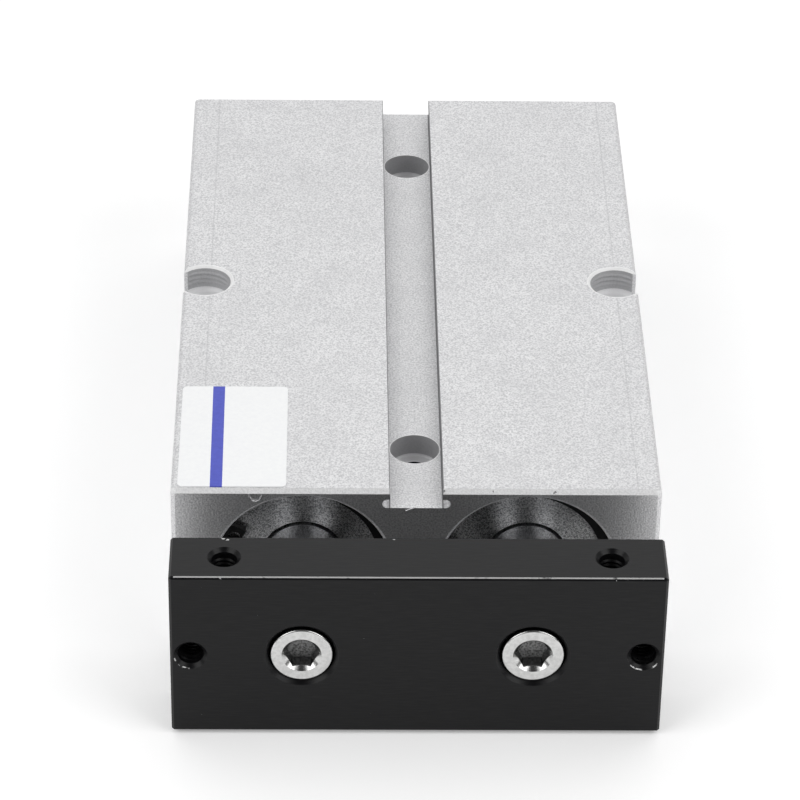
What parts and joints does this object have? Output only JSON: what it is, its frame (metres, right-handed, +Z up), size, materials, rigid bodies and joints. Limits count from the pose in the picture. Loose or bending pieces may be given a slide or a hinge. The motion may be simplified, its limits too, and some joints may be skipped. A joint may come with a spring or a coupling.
{
  "type": "twin rod pneumatic cylinder",
  "caption": "Flat double-acting air cylinder: an extruded body with side-by-side bores, and guided rods joined by one end plate, so the plate slides out straight and can't turn.",
  "frame": {"origin": "middle of the footprint at the level of the body's underside, with the rods drawn in", "axes": "+Y along the length, from the end plate to the rear; +Z up; +X to the right as seen from the end plate"},
  "size_m": [0.08, 0.151, 0.0322],
  "materials": {
    "anodised_body": "bead-blasted, clear anodised",
    "black_plate": "black anodised aluminium, satin",
    "turned_cover": "turned",
    "rod_chrome": "hard chrome, polished",
    "circlip_steel": "black phosphated spring steel",
    "screw_steel": "bright zinc plated",
    "plug_steel": "plain",
    "piston_aluminium": "turned",
    "bush_bronze": "sintered bronze",
    "seal_rubber": "nitrile rubber",
    "guide_plastic": "low-friction plastic",
    "magnet_ceramic": "ferrite",
    "label_vinyl": "white vinyl with a blue stripe"
  },
  "bodies": {
    "cylinder": {"cylinder_body": "anodised_body", "air_passage_plugs": "plug_steel", "rating_label": "label_vinyl", "left_rod_cover": "turned_cover", "left_rod_bush": "bush_bronze", "left_rod_seal": "seal_rubber", "left_rod_cover_ring": "seal_rubber", "left_front_circlip": "circlip_steel", "left_front_bumper": "seal_rubber", "left_rear_cover": "turned_cover", "left_rear_cover_ring": "seal_rubber", "left_rear_circlip": "circlip_steel", "left_rear_bumper": "seal_rubber", "right_rod_cover": "turned_cover", "right_rod_bush": "bush_bronze", "right_rod_seal": "seal_rubber", "right_rod_cover_ring": "seal_rubber", "right_front_circlip": "circlip_steel", "right_front_bumper": "seal_rubber", "right_rear_cover": "turned_cover", "right_rear_cover_ring": "seal_rubber", "right_rear_circlip": "circlip_steel", "right_rear_bumper": "seal_rubber"},
    "carriage": {"end_plate": "black_plate", "plate_screws": "screw_steel", "left_piston_rod": "rod_chrome", "left_piston_front": "piston_aluminium", "left_piston_rear": "piston_aluminium", "left_piston_seal": "seal_rubber", "left_wear_ring": "guide_plastic", "left_magnet_ring": "magnet_ceramic", "left_piston_nut": "screw_steel", "right_piston_rod": "rod_chrome", "right_piston_front": "piston_aluminium", "right_piston_rear": "piston_aluminium", "right_piston_seal": "seal_rubber", "right_wear_ring": "guide_plastic", "right_magnet_ring": "magnet_ceramic", "right_piston_nut": "screw_steel"}
  },
  "joints": [
    {"name": "rod_slide", "type": "slide", "parent": "cylinder", "child": "carriage", "axis": [0, -1, 0], "range_m": [0, 0.05]}
  ]
}
